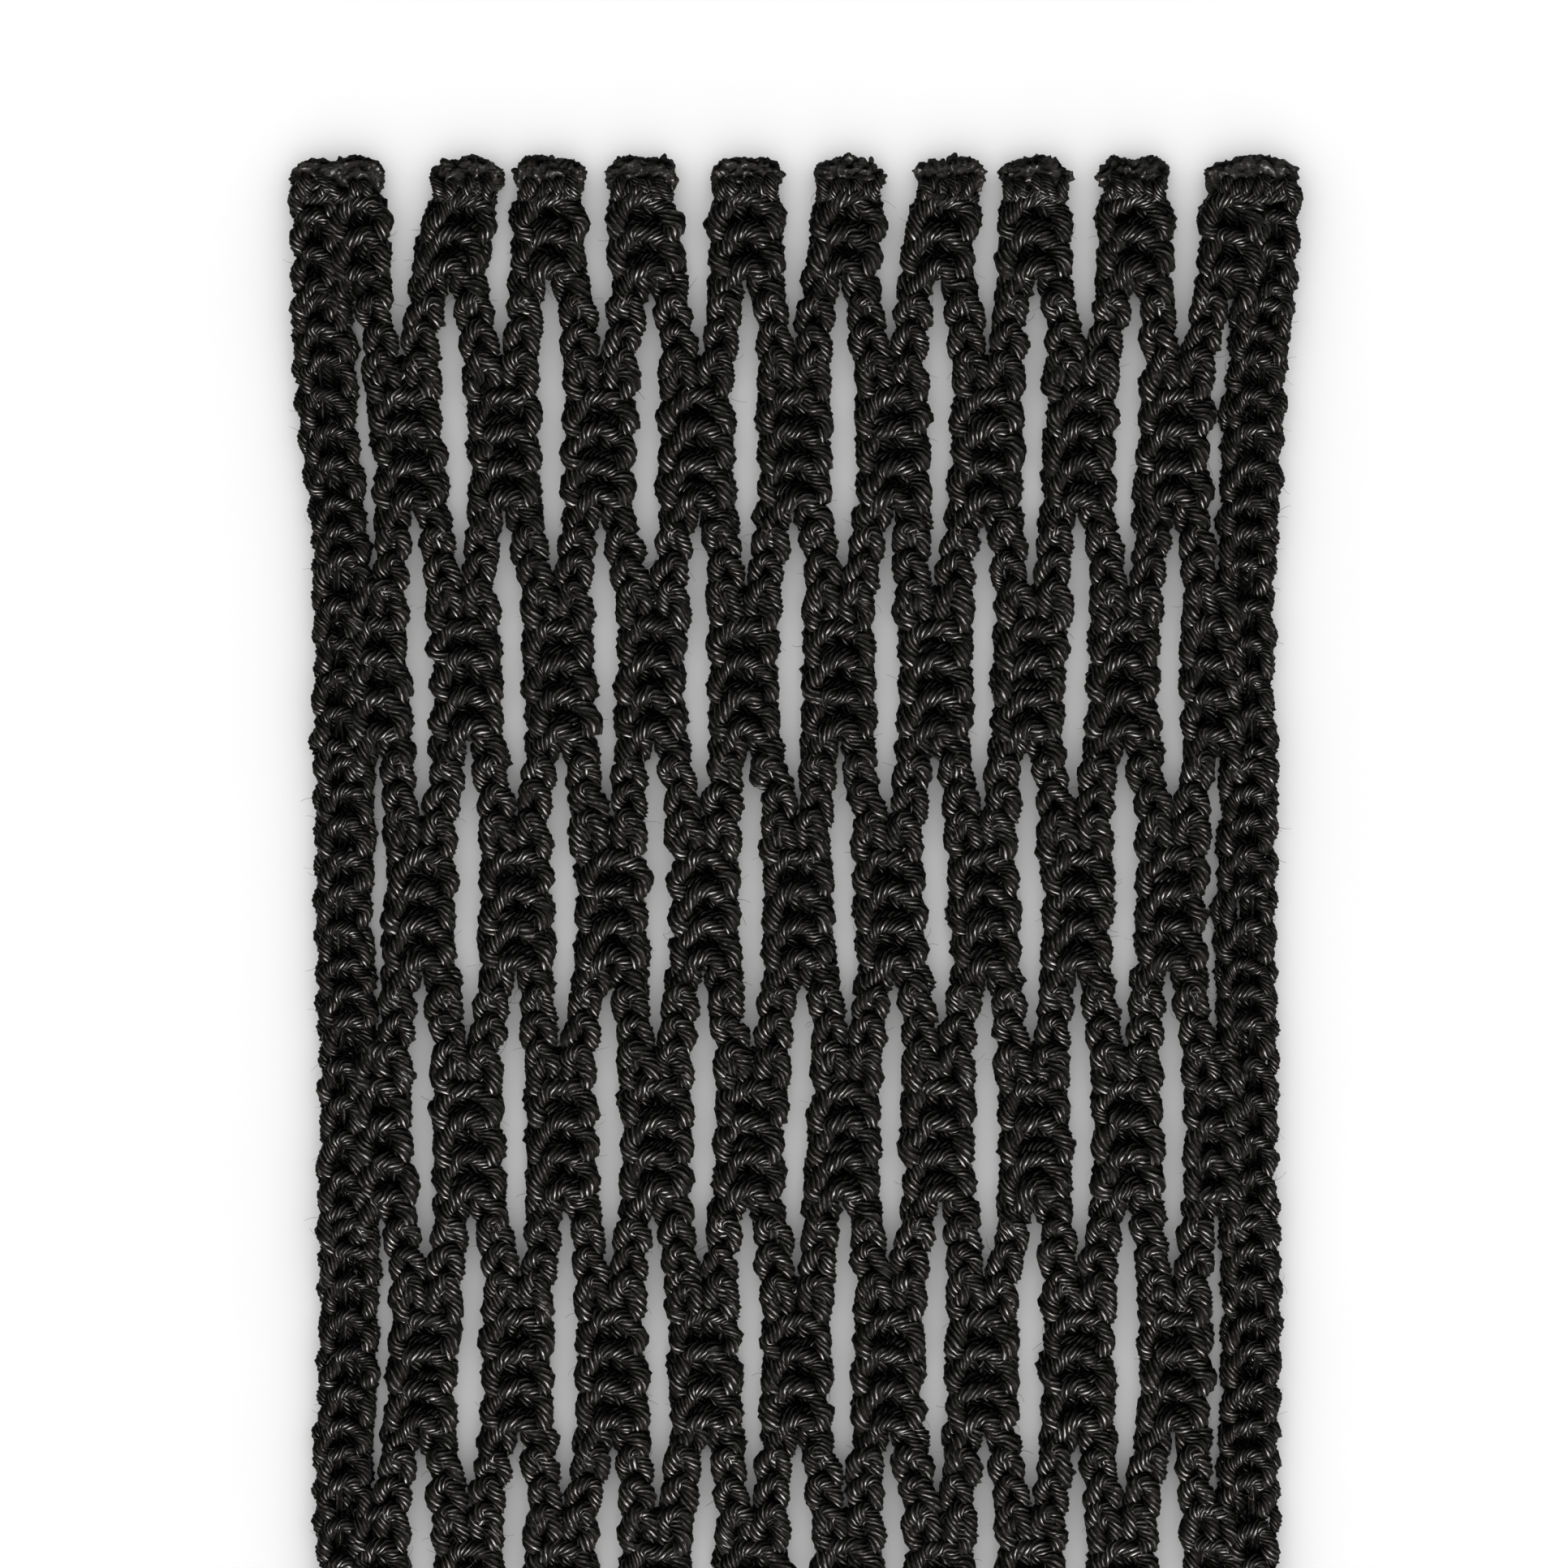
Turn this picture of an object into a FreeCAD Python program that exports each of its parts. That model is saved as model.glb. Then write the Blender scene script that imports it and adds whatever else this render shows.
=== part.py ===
import FreeCAD, Part
import math
import os
import Sketcher

# Flat strip of knotless netting, pulled lengthwise so that its meshes close to slits.
# X runs across the strip, Y along it, Z up. It lies on z = 0, centred on the origin.
# Every second joint row (type A) ties the outermost legs to the selvedges. The rows
# between (type B) tie the legs in pairs. Both ends are cut through a type A row.

SIZES = [
    # alias, value, meaning (millimetres unless it is a count)
    ("bar_length", 10.2, "half a mesh, from one joint row to the next"),
    ("joint_rows", 9, "odd number of joint rows, the first and last cut through"),
    ("lap_pitch", 1.6, "from one lapping yarn to the next within a joint"),
    ("leg_courses", 2, "stitches of a leg between two joints"),
    ("joint_length", 7.38, "length over which two legs are knitted together"),
    ("end_length", 1.98, "from the middle of the last joint row to the cut"),
    ("column_pitch", 4.15, "from one pair of legs to the next"),
    ("leg_pairs", 9, "pairs of legs between the selvedges"),
    ("chain_width", 1.53, "one knitted leg"),
    ("chain_height", 1.15, "knitted leg without the laps on it"),
    ("chain_round", 0.4, "rounding of a chain's upper edges"),
    ("selvedge_width", 1.0, "each of the two chains of a selvedge"),
    ("edge_width", 0.66, "outermost strand of a selvedge"),
    ("edge_height", 0.9, "outermost strand of a selvedge"),
    ("edge_round", 0.25, "rounding of the edge strand"),
    ("lap_width", 0.66, "one lapping yarn across a joint"),
    ("lap_height", 0.45, "how far a lapping yarn stands above the chains"),
    ("lap_inset", 0.24, "from the side of a column to the end of a lap"),
    ("lap_clearance", 0.05, "between a sealed end and the first lap"),
    ("tip_length", 1.5, "heat-sealed end of a column"),
    ("tip_height", 1.5, "heat-sealed end of a column"),
    ("tip_overhang", 0.12, "how far a sealed end stands out beside its column"),
    ("tip_round", 0.35, "rounding of a sealed end"),
]

document = FreeCAD.newDocument("netting_strip")
sheet = document.addObject("Spreadsheet::Sheet", "Sizes")
for row, (alias, value, meaning) in enumerate(SIZES, start=1):
    sheet.set("A%d" % row, alias)
    sheet.set("B%d" % row, str(value))
    sheet.set("C%d" % row, meaning)
    sheet.setAlias("B%d" % row, alias)
document.recompute()

BAR = "Sizes.bar_length"
CHAIN = "Sizes.chain_width"
LAP = "Sizes.lap_width"
# A leg steps sideways by this much between a row A and a row B joint.
STEP = "(Sizes.column_pitch / 2 - Sizes.chain_width)"
# From the middle of a joint to where its legs part.
SPLIT = "(Sizes.joint_length / 2)"
HALF_LENGTH = "((Sizes.joint_rows - 1) / 2 * Sizes.bar_length + Sizes.end_length)"
# From the strip's middle line to the inner side of a selvedge.
INNER = "(Sizes.leg_pairs * Sizes.column_pitch / 2)"
SELVEDGE = "(2 * Sizes.selvedge_width + Sizes.edge_width)"
# From the cut end of a chain, inside its sealed tip, to the next row B.
END_MODULE = "(Sizes.end_length - Sizes.tip_length + Sizes.bar_length)"
CHAIN_END = "(%s - Sizes.tip_length)" % HALF_LENGTH

# Nodes of the finished strip, in the order in which they are made.
pieces = []


def size(expression):
    """Value of an expression on the sheet, in millimetres or as a plain number."""
    return float(sheet.evalExpression(expression))


def new_body(label, x, y, z):
    """Body whose own origin sits at the given place on the strip."""
    body = document.addObject("PartDesign::Body", label)
    body.Label = label
    body.setExpression(".Placement.Base.x", x)
    body.setExpression(".Placement.Base.y", y)
    body.setExpression(".Placement.Base.z", z)
    pieces.append(body)
    return body


def origin_feature(body, role):
    """Plane or axis of a body's own origin."""
    return next(f for f in body.Origin.OriginFeatures if f.Role == role)


def new_sketch(body, name, role):
    """Empty sketch on one of the body's origin planes."""
    sketch = body.newObject("Sketcher::SketchObject", name)
    sketch.AttachmentSupport = [(origin_feature(body, role), "")]
    sketch.MapMode = "FlatFace"
    return sketch


def bind(sketch, constraint, expression):
    """Add a constraint whose value follows the sheet."""
    index = sketch.addConstraint(constraint)
    sketch.setExpression("Constraints[%d]" % index, expression)


def draw_outline(sketch, points):
    """Closed outline of straight sides through points given as expressions."""
    places = [FreeCAD.Vector(size(x), size(y), 0) for x, y in points]
    for start, end in zip(places, places[1:] + places[:1]):
        sketch.addGeometry(Part.LineSegment(start, end), False)
    last = len(points) - 1
    for side in range(len(points)):
        following = 0 if side == last else side + 1
        sketch.addConstraint(Sketcher.Constraint("Coincident", side, 2, following, 1))
    for side, (x, y) in enumerate(points):
        place = places[side]
        bind(sketch, Sketcher.Constraint("DistanceX", -1, 1, side, 1, place.x), x)
        bind(sketch, Sketcher.Constraint("DistanceY", -1, 1, side, 1, place.y), y)


def pad(body, sketch, length):
    """Pad of a sketch along its plane's normal."""
    feature = body.newObject("PartDesign::Pad", sketch.Name + "_pad")
    feature.Profile = sketch
    feature.setExpression("Length", length)
    sketch.Visibility = False
    return feature


def repeat(body, feature, role, step, count):
    """Linear pattern of a feature along one of the body's axes."""
    pattern = body.newObject("PartDesign::LinearPattern", feature.Name + "_row")
    pattern.Originals = [feature]
    pattern.Direction = (origin_feature(body, role), [""])
    pattern.Mode = "Spacing"
    pattern.setExpression("Offset", step)
    pattern.setExpression("Occurrences", count)
    body.Tip = pattern
    return pattern


def round_edges(body, radius, wanted):
    """Round the edges of the body's tip whose bounding box the test accepts."""
    document.recompute()
    base = body.Tip
    names = []
    for number, edge in enumerate(base.Shape.Edges, start=1):
        if wanted(edge.BoundBox):
            names.append("Edge%d" % number)
    fillet = body.newObject("PartDesign::Fillet", body.Name + "_round")
    fillet.Base = (base, names)
    fillet.setExpression("Radius", radius)
    body.Tip = fillet


def upper_edges(height):
    """Test for edges that lie in the top face of a pad of this height."""
    top = size(height)
    return lambda box: box.ZMin > top - 0.001


def raised_edges():
    """Test for every edge that isn't wholly in the flat underside."""
    return lambda box: box.ZMax > 0.001


def leg_chain(number):
    """One leg: a chain of stitches that steps between its two neighbours."""
    pair = (number - 1) // 2
    odd = number % 2 == 1
    # Place of the leg in a row B joint, left or right of its pair's middle.
    in_pair = "0" if not odd else "-" + CHAIN
    at_b = "((%d - (Sizes.leg_pairs - 1) / 2) * Sizes.column_pitch + %s)" % (pair, in_pair)
    # Odd legs step to the left in a row A, even legs to the right.
    left_b = STEP if odd else "0"
    left_a = "0" if odd else STEP
    start = "(%s - %s)" % (at_b, left_b)
    body = new_body("leg_chain_%02d" % number, start, "-" + CHAIN_END, "0")

    def ribbon(name, base, stations):
        left = [(x, "(%s + %s)" % (base, y)) for x, y in stations]
        right = [("(%s + %s)" % (x, CHAIN), y) for x, y in reversed(left)]
        sketch = new_sketch(body, name, "XY_Plane")
        draw_outline(sketch, left + right)
        return pad(body, sketch, "Sizes.chain_height")

    cut = "(Sizes.end_length - Sizes.tip_length)"
    ribbon("lower_end", "0", [
        (left_a, "0"),
        (left_a, "(%s + %s)" % (cut, SPLIT)),
        (left_b, "(%s + %s - %s)" % (cut, BAR, SPLIT)),
        (left_b, END_MODULE),
    ])
    mesh = ribbon("mesh", END_MODULE, [
        (left_b, "0"),
        (left_b, SPLIT),
        (left_a, "(%s - %s)" % (BAR, SPLIT)),
        (left_a, "(%s + %s)" % (BAR, SPLIT)),
        (left_b, "(2 * %s - %s)" % (BAR, SPLIT)),
        (left_b, "(2 * %s)" % BAR),
    ])
    repeat(body, mesh, "Y_Axis", "2 * " + BAR, "(Sizes.joint_rows - 3) / 2")
    upper = "(%s + (Sizes.joint_rows - 3) * %s)" % (END_MODULE, BAR)
    ribbon("upper_end", upper, [
        (left_b, "0"),
        (left_b, SPLIT),
        (left_a, "(%s - %s)" % (BAR, SPLIT)),
        (left_a, END_MODULE),
    ])
    round_edges(body, "Sizes.chain_round", upper_edges("Sizes.chain_height"))


def straight_chain(label, left, width, height, radius):
    """Straight chain or strand of a selvedge, as long as the legs."""
    body = new_body(label, left, "-" + CHAIN_END, "0")
    length = "(2 * %s)" % CHAIN_END
    sketch = new_sketch(body, "outline", "XY_Plane")
    draw_outline(sketch, [("0", "0"), (width, "0"), (width, length), ("0", length)])
    pad(body, sketch, height)
    round_edges(body, radius, upper_edges(height))


def selvedge(side, mirrored):
    """Two chains side by side and the strand that edges them."""
    strands = [
        (side + "_selvedge_inner_chain", "0", "Sizes.selvedge_width"),
        (side + "_selvedge_outer_chain", "Sizes.selvedge_width", "Sizes.selvedge_width"),
        (side + "_edge_strand", "(2 * Sizes.selvedge_width)", "Sizes.edge_width"),
    ]
    for label, offset, width in strands:
        left = "(%s + %s)" % (INNER, offset)
        if mirrored:
            left = "-(%s + %s + %s)" % (INNER, offset, width)
        edging = label.endswith("_edge_strand")
        height = "Sizes.edge_height" if edging else "Sizes.chain_height"
        radius = "Sizes.edge_round" if edging else "Sizes.chain_round"
        straight_chain(label, left, width, height, radius)


def draw_laps(sketch, places):
    """Domed section of each lapping yarn, its flat side down, at the given places."""
    radius = "(%s ^ 2 / 4 + Sizes.lap_height ^ 2) / (2 * Sizes.lap_height)" % LAP
    half = size(LAP) / 2
    arc_radius = size(radius)
    middle_z = size("Sizes.lap_height") - arc_radius
    spread = math.atan2(-middle_z, half)
    for number, place in enumerate(places):
        y = size(place)
        low = 2 * number
        dome = low + 1
        start = FreeCAD.Vector(y - half, 0, 0)
        end = FreeCAD.Vector(y + half, 0, 0)
        circle = Part.Circle(FreeCAD.Vector(y, middle_z, 0), FreeCAD.Vector(0, 0, 1), arc_radius)
        sketch.addGeometry(Part.LineSegment(start, end), False)
        sketch.addGeometry(Part.ArcOfCircle(circle, spread, math.pi - spread), False)
        sketch.addConstraint(Sketcher.Constraint("Coincident", low, 2, dome, 1))
        sketch.addConstraint(Sketcher.Constraint("Coincident", low, 1, dome, 2))
        sketch.addConstraint(Sketcher.Constraint("PointOnObject", low, 1, -1))
        sketch.addConstraint(Sketcher.Constraint("Horizontal", low))
        middle = "(%s - %s / 2)" % (place, LAP)
        bind(sketch, Sketcher.Constraint("DistanceX", -1, 1, low, 1, y - half), middle)
        bind(sketch, Sketcher.Constraint("DistanceX", low, 1, low, 2, 2 * half), LAP)
        bind(sketch, Sketcher.Constraint("Radius", dome, arc_radius), radius)


def joint_courses(middle, count):
    """Places of the laps of a joint, evenly about its middle."""
    first = -(count - 1) / 2.0
    return ["(%s + %s * Sizes.lap_pitch)" % (middle, first + step) for step in range(count)]


def selvedge_courses(middle, count):
    """Laps of a selvedge that runs alone: a joint's, then those on to the next joints."""
    places = joint_courses(middle, count)
    gaps = "(Sizes.bar_length - %d * Sizes.lap_pitch) / (Sizes.leg_courses + 1)" % (count - 1)
    for step in range(1, int(size("Sizes.leg_courses")) + 1):
        places.append("(%s + %d * %s)" % (places[count - 1], step, gaps))
        places.append("(%s - %d * %s)" % (places[0], step, gaps))
    return places


def lap_group(body, name, places, left, length, step=None, count=None):
    """Laps that lie across one column, or across a row of columns like it."""
    sketch = new_sketch(body, name, "YZ_Plane")
    sketch.setExpression(".AttachmentOffset.Base.z", left)
    draw_laps(sketch, places)
    laps = pad(body, sketch, length)
    if count is not None:
        repeat(body, laps, "X_Axis", step, count)


def lap_row(number):
    """All the lapping yarns that tie one row of joints, on top of the chains."""
    rows = int(size("Sizes.joint_rows"))
    type_a = number % 2 == 1
    pitch = size("Sizes.lap_pitch")
    joint_laps = int((size("Sizes.joint_length") - size(LAP)) / pitch) + 1
    half_width = "(%s + %s)" % (INNER, SELVEDGE)
    # The body's own y = 0 is the lower cut end of the strip, so that every place is positive.
    body = new_body("joint_laps_row_%d" % number, "-" + half_width, "-" + HALF_LENGTH,
                    "Sizes.chain_height")
    middle = "(Sizes.end_length + %d * %s)" % (rows - number, BAR)
    inset = "Sizes.lap_inset"

    places = joint_courses(middle, joint_laps)
    if number in (1, rows):
        # Only the courses between the sealed tips and the split are left in an end row.
        room = "(%s + Sizes.end_length - Sizes.tip_length - Sizes.lap_clearance - %s)"
        end_laps = int(size(room % (SPLIT, LAP)) / pitch) + 1
        first = "(Sizes.tip_length + Sizes.lap_clearance + %s / 2)" % LAP
        places = ["(%s + %d * Sizes.lap_pitch)" % (first, step) for step in range(end_laps)]
        if number == 1:
            places = ["(2 * %s - %s)" % (HALF_LENGTH, place) for place in reversed(places)]

    pair_length = "(2 * %s - 2 * %s)" % (CHAIN, inset)
    outer_length = "(%s - 2 * %s)" % (SELVEDGE, inset)
    pair_left = "(%s + Sizes.column_pitch / 2 - %s + %s)" % (SELVEDGE, CHAIN, inset)
    pair_count = "Sizes.leg_pairs"
    outer_places = selvedge_courses(middle, joint_laps)
    if type_a:
        outer_length = "(%s + %s - 2 * %s)" % (SELVEDGE, CHAIN, inset)
        pair_left = "(%s + Sizes.column_pitch - %s + %s)" % (SELVEDGE, CHAIN, inset)
        pair_count = "Sizes.leg_pairs - 1"
        outer_places = places
    lap_group(body, "pair_laps", places, pair_left, pair_length, "Sizes.column_pitch", pair_count)
    right_left = "(2 * %s - %s - %s)" % (half_width, outer_length, inset)
    lap_group(body, "left_laps", outer_places, inset, outer_length)
    lap_group(body, "right_laps", outer_places, right_left, outer_length)


def sealed_tip(number, upper):
    """Fused end of one row A column: its own block, square to the chains' cut ends."""
    columns = int(size("Sizes.leg_pairs")) + 1
    width = "(2 * %s + 2 * Sizes.tip_overhang)" % CHAIN
    side = "(-%s + (%d - 1) * Sizes.column_pitch - %s - Sizes.tip_overhang)"
    left = side % (INNER, number, CHAIN)
    if number in (1, columns):
        width = "(%s + %s + 2 * Sizes.tip_overhang)" % (SELVEDGE, CHAIN)
    if number == 1:
        left = "(-%s - %s - Sizes.tip_overhang)" % (INNER, SELVEDGE)
    end = "top" if upper else "bottom"
    low = CHAIN_END if upper else "-" + HALF_LENGTH
    body = new_body("%s_sealed_tip_%02d" % (end, number), left, low, "0")
    sketch = new_sketch(body, "outline", "XY_Plane")
    length = "Sizes.tip_length"
    draw_outline(sketch, [("0", "0"), (width, "0"), (width, length), ("0", length)])
    pad(body, sketch, "Sizes.tip_height")
    round_edges(body, "Sizes.tip_round", raised_edges())


def check_document():
    """Stop unless every object computed and every piece is a sound shape."""
    for item in document.Objects:
        if "Invalid" in item.State or "Error" in item.State:
            raise RuntimeError("%s did not compute: %s" % (item.Label, item.State))
    for piece in pieces:
        if piece.Shape.isNull() or not piece.Shape.isValid() or not piece.Shape.Solids:
            raise RuntimeError("%s has no sound shape" % piece.Label)


selvedge("left", True)
for leg in range(1, 2 * int(size("Sizes.leg_pairs")) + 1):
    leg_chain(leg)
selvedge("right", False)
for joint_row in range(1, int(size("Sizes.joint_rows")) + 1):
    lap_row(joint_row)
for column in range(1, int(size("Sizes.leg_pairs")) + 2):
    sealed_tip(column, True)
    sealed_tip(column, False)

document.recompute()
check_document()
os.makedirs("parts", exist_ok=True)
for piece in pieces:
    piece.Shape.exportStep("parts/%s.step" % piece.Label)
    solids = piece.Shape.Solids
    volume = sum(solid.Volume for solid in solids)
    print("%-28s %3d solids %8.3f mm3" % (piece.Label, len(solids), volume))
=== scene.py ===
import math

import bpy
import numpy as np
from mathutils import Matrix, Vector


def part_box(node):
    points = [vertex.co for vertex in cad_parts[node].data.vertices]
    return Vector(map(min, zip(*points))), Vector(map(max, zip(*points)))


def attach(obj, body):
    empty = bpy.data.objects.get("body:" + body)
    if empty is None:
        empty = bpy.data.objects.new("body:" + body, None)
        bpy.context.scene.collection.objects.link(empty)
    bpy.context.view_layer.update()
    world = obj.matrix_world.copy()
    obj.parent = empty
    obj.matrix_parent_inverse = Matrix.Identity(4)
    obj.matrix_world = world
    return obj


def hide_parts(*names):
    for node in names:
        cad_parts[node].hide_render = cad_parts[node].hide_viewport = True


# Knitted netting strip, built yarn by yarn. Shapes and the view are worked out in millimetres in
# the strip's own frame: X across, Y along the legs, Z up from the table. Lights and materials
# are in metres.

MM = 0.001

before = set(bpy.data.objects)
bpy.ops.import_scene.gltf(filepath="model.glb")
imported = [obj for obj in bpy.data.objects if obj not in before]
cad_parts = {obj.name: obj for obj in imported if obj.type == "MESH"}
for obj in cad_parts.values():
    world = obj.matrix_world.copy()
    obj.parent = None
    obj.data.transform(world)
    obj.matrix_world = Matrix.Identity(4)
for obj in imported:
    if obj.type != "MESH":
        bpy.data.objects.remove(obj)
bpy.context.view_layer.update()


# ---------------------------------------------------------------- layout from the frame

CHAIN_WIDTH = 1.53          # one knitted leg
SELVEDGE_CHAIN = 1.0        # each of the two chains of a selvedge
JOINT_LENGTH = 7.38         # stretch over which two legs are tied together
PARTING = 1.0               # how far inside a joint its two legs begin to part
LAP_PITCH = 1.6             # from one course to the next inside a joint
JOINT_LAPS = 5              # courses of a joint
LEG_COURSES = 2             # courses of a leg between two joints
FREE_END = 0.15             # no course lies this close to the cut


def box_mm(node):
    """Lowest and highest corner of a CAD node in millimetres."""
    low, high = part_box(node)
    return np.array(low) / MM, np.array(high) / MM


def middle_y(node):
    low, high = box_mm(node)
    return (low[1] + high[1]) / 2


lap_nodes = sorted(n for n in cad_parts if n.startswith("joint_laps_row_"))
leg_nodes = sorted(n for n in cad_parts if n.startswith("leg_chain_"))
BAR = middle_y(lap_nodes[1]) - middle_y(lap_nodes[2])
ROW_Y = [middle_y(lap_nodes[1]) + (1 - row) * BAR for row in range(len(lap_nodes))]
CHAIN_TOP = box_mm(leg_nodes[0])[1][1]
COLUMN_PITCH = box_mm(leg_nodes[2])[0][0] - box_mm(leg_nodes[0])[0][0]
LEG_PAIRS = len(leg_nodes) // 2
INNER_EDGE = LEG_PAIRS * COLUMN_PITCH / 2
SPLIT = JOINT_LENGTH / 2
HALF_LAPS = (JOINT_LAPS - 1) / 2
LEG_PITCH = (BAR - (JOINT_LAPS - 1) * LAP_PITCH) / (LEG_COURSES + 1)


def joint_courses(row_y):
    """Courses of one row of joints, from the top down."""
    return [row_y + (HALF_LAPS - lap) * LAP_PITCH for lap in range(JOINT_LAPS)]


def course_places():
    """Every course of a chain from the top cut end to the bottom one."""
    places = []
    for row_y in ROW_Y:
        places += joint_courses(row_y)
        last = places[-1]
        places += [last - (step + 1) * LEG_PITCH for step in range(LEG_COURSES)]
    return np.array([y for y in places if abs(y) < CHAIN_TOP - FREE_END])


def lap_places(row):
    """Courses at which a row of joints has lapping yarns."""
    return [y for y in joint_courses(ROW_Y[row]) if abs(y) < CHAIN_TOP - FREE_END]


COURSES = course_places()


def ease(value):
    """Smooth step from 0 to 1."""
    value = np.clip(value, 0.0, 1.0)
    return value * value * (3 - 2 * value)


def between_rows(y, at_a, at_b):
    """Value that is at_a in the even rows of the list and at_b in the odd ones.

    It starts to change inside the joint, so that the legs part right at the end of it.
    """
    place = (ROW_Y[0] - y) / BAR
    row = math.floor(place)
    start = (SPLIT - PARTING) / BAR
    share = min(max((place - row - start) / (1 - 2 * start), 0.0), 1.0)
    # The leg runs nearly straight across, with soft bends at both ends.
    step = 0.6 * share + 0.4 * ease(share)
    here, there = (at_a, at_b) if row % 2 == 0 else (at_b, at_a)
    return here + (there - here) * step


def tied(y):
    """1 inside a joint, 0 where a leg runs alone."""
    place = (ROW_Y[0] - y) / BAR
    away = abs(place - round(place)) * BAR
    return 1 - ease((away - SPLIT + 0.7) / 1.2)


def leg_middle(number):
    """Function from y to the middle line of a leg."""
    low, high = box_mm("leg_chain_%02d" % number)
    left, right = low[0] + CHAIN_WIDTH / 2, high[0] - CHAIN_WIDTH / 2
    at_a, at_b = (left, right) if number % 2 == 1 else (right, left)
    return lambda y: between_rows(y, at_a, at_b)


# ---------------------------------------------------------------- yarn geometry

STRANDS = 7                 # visible plies round a yarn
VALLEY = 0.74               # how far out the groove between two plies lies, as a share of the radius
RING_STEP = 0.16            # from one ring of points to the next where the yarn shows
HIDDEN_BELOW = 0.70         # under this height rings are twice as far apart
LAY_ANGLE = math.radians(54)    # slant of the plies against the yarn


def smooth_path(points, step):
    """Points on a Catmull-Rom line and how far along it they are. Each is x, y, z, radius."""
    points = np.asarray(points, float)
    before = np.vstack([2 * points[0] - points[1], points[:-1]])
    after = np.vstack([points[1:], 2 * points[-1] - points[-2]])
    slope = (after - before) / 2
    t = np.linspace(0, 1, 7)[:-1, None, None]
    p0, p1, m0, m1 = points[:-1], points[1:], slope[:-1], slope[1:]
    h00, h10 = 2 * t**3 - 3 * t**2 + 1, t**3 - 2 * t**2 + t
    h01, h11 = -2 * t**3 + 3 * t**2, t**3 - t**2
    fine = (h00 * p0 + h10 * m0 + h01 * p1 + h11 * m1).transpose(1, 0, 2).reshape(-1, 4)
    fine = np.vstack([fine, points[-1]])
    pieces = np.linalg.norm(np.diff(fine[:, :3], axis=0), axis=1)
    length = np.concatenate([[0], np.cumsum(pieces)])
    shown = np.where(fine[1:, 2] < HIDDEN_BELOW, 0.5, 1.0)
    weighted = np.concatenate([[0], np.cumsum(pieces * shown)])
    count = max(3, int(round(weighted[-1] / step)) + 1)
    at = np.interp(np.linspace(0, weighted[-1], count), weighted, length)
    return np.stack([np.interp(at, length, fine[:, axis]) for axis in range(4)], axis=1), at


def carried_frames(path):
    """Tangent and a normal that is carried along the path without turning."""
    tangent = np.gradient(path, axis=0)
    tangent /= np.linalg.norm(tangent, axis=1)[:, None]
    normal = np.empty_like(tangent)
    start = np.array([0.0, 0.0, 1.0])
    current = start - tangent[0] * (start @ tangent[0])
    if np.linalg.norm(current) < 0.1:
        current = np.cross(tangent[0], [1.0, 0.0, 0.0])
    for i, along in enumerate(tangent):
        current = current - along * (current @ along)
        current /= np.linalg.norm(current)
        normal[i] = current
    return tangent, normal


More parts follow.
